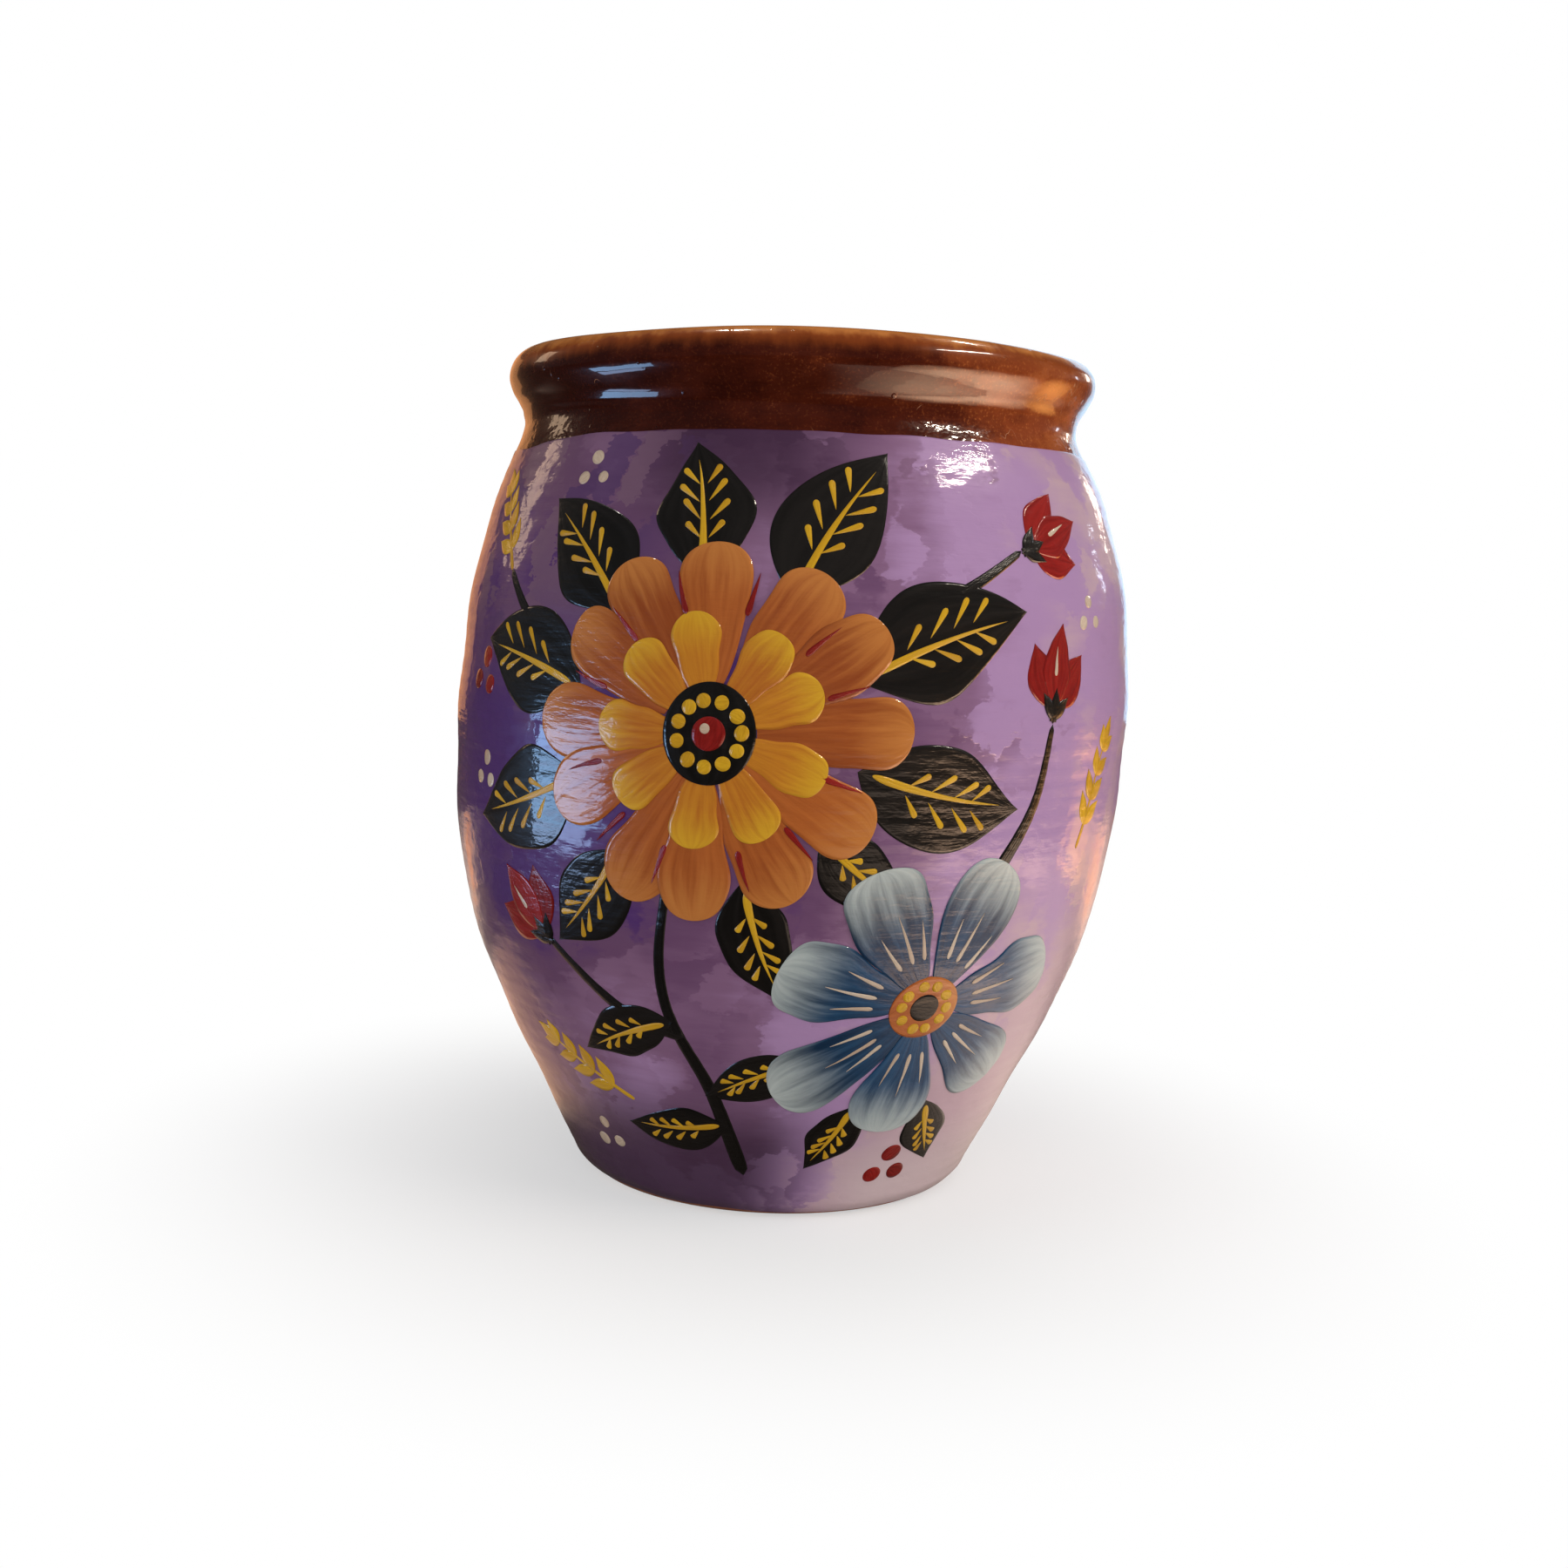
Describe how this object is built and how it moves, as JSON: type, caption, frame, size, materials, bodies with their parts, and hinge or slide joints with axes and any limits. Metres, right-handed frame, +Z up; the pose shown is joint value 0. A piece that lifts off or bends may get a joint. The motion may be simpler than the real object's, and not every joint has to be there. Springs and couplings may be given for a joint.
{
  "type": "clay drinking pot",
  "caption": "Squat clay drinking pot without a handle: flat foot, full belly, drawn-in neck and rolled lip, brown glaze inside and over the rim, purple paint outside.",
  "frame": {"origin": "middle of the flat underside", "axes": "+Z up along the pot's turning axis, -Y towards the decorated front"},
  "size_m": [0.0978, 0.0978, 0.119],
  "materials": {
    "red_clay": "matte",
    "brown_glaze": "gloss",
    "purple_paint": "gloss",
    "black_paint": "gloss",
    "orange_paint": "gloss",
    "yellow_paint": "gloss",
    "red_paint": "gloss",
    "blue_paint": "gloss",
    "cream_paint": "gloss"
  },
  "bodies": {
    "root": {"clay_body": "red_clay", "brown_glaze": "brown_glaze", "purple_paint": "purple_paint"}
  },
  "joints": []
}
